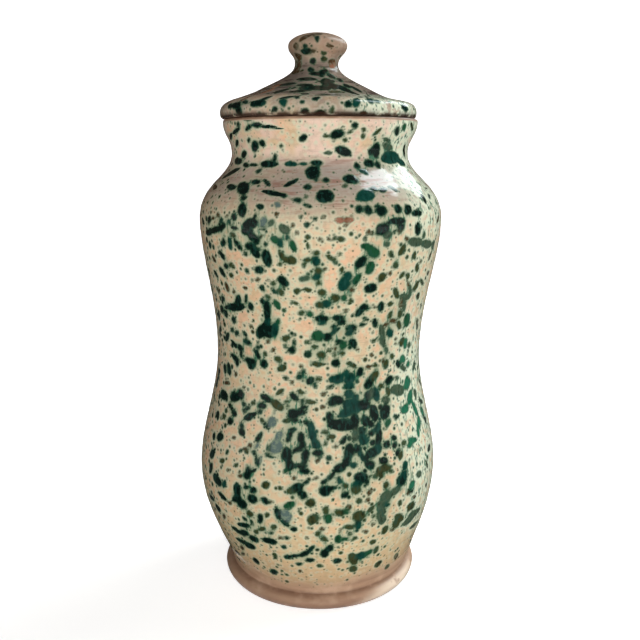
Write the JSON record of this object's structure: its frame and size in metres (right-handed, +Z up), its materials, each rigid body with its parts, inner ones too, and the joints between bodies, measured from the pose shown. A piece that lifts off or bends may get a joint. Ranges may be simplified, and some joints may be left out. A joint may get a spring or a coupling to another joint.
{
  "type": "lidded storage jar",
  "caption": "Tall waisted pottery jar with a rolled foot, a flared rim and a lift-off lid with a round knob, in spattered glaze.",
  "frame": {"origin": "centre of the flat ring that the jar stands on, at the lowest level of the part", "axes": "+Z up along the axis that the jar was thrown about; the side that the picture shows faces -Y; +X to the right"},
  "size_m": [0.1564, 0.1564, 0.35],
  "materials": {
    "jar_glaze": "glossy cream glaze spattered with dark green, bare tan clay on the foot, underside and rim",
    "lid_glaze": "glossy cream glaze spattered with dark green, bare tan clay on the seat and flange"
  },
  "bodies": {
    "jar": {"jar": "jar_glaze"},
    "lid": {"lid": "lid_glaze"}
  },
  "joints": [
    {"name": "lid_lift", "type": "slide", "parent": "jar", "child": "lid", "axis": [0, 0, 1], "range_m": [0, 0.15]}
  ]
}
